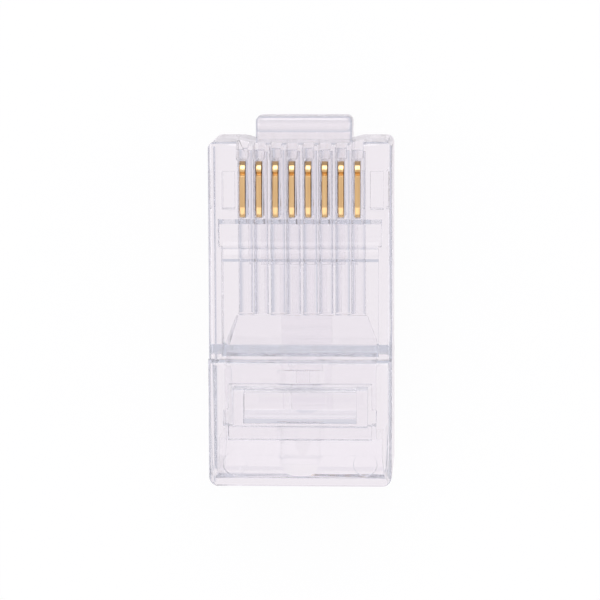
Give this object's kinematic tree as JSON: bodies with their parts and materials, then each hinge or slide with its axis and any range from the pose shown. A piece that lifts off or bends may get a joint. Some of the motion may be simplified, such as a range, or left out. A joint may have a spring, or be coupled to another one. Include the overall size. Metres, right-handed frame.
{
  "type": "rj45 modular plug",
  "caption": "Clear modular cable plug with gold piercing contacts in slots, staggered wire channels, a jacket clamp bar and a spring latch.",
  "frame": {"origin": "middle of the flat nose face, halfway up the nose, where the socket's fit begins", "axes": "+Y out of the nose, +Z out of the contact side, X across the contacts"},
  "size_m": [0.0114, 0.0226, 0.0114],
  "materials": {
    "clear_moulding": "clear polycarbonate, polished, with a faint lavender tint",
    "gold_plate": "thin gold plating on a copper alloy stamping"
  },
  "bodies": {
    "body": {"housing": "clear_moulding", "contact_1": "gold_plate", "contact_2": "gold_plate", "contact_3": "gold_plate", "contact_4": "gold_plate", "contact_5": "gold_plate", "contact_6": "gold_plate", "contact_7": "gold_plate", "contact_8": "gold_plate"},
    "latch": {"latch": "clear_moulding"}
  },
  "joints": [
    {"name": "latch_flex", "type": "hinge", "parent": "body", "child": "latch", "pos_m": [0, 0.0008, -0.004], "axis": [-1, 0, 0], "range_deg": [0, 6.9], "stiffness_Nm_per_rad": 0.25}
  ]
}
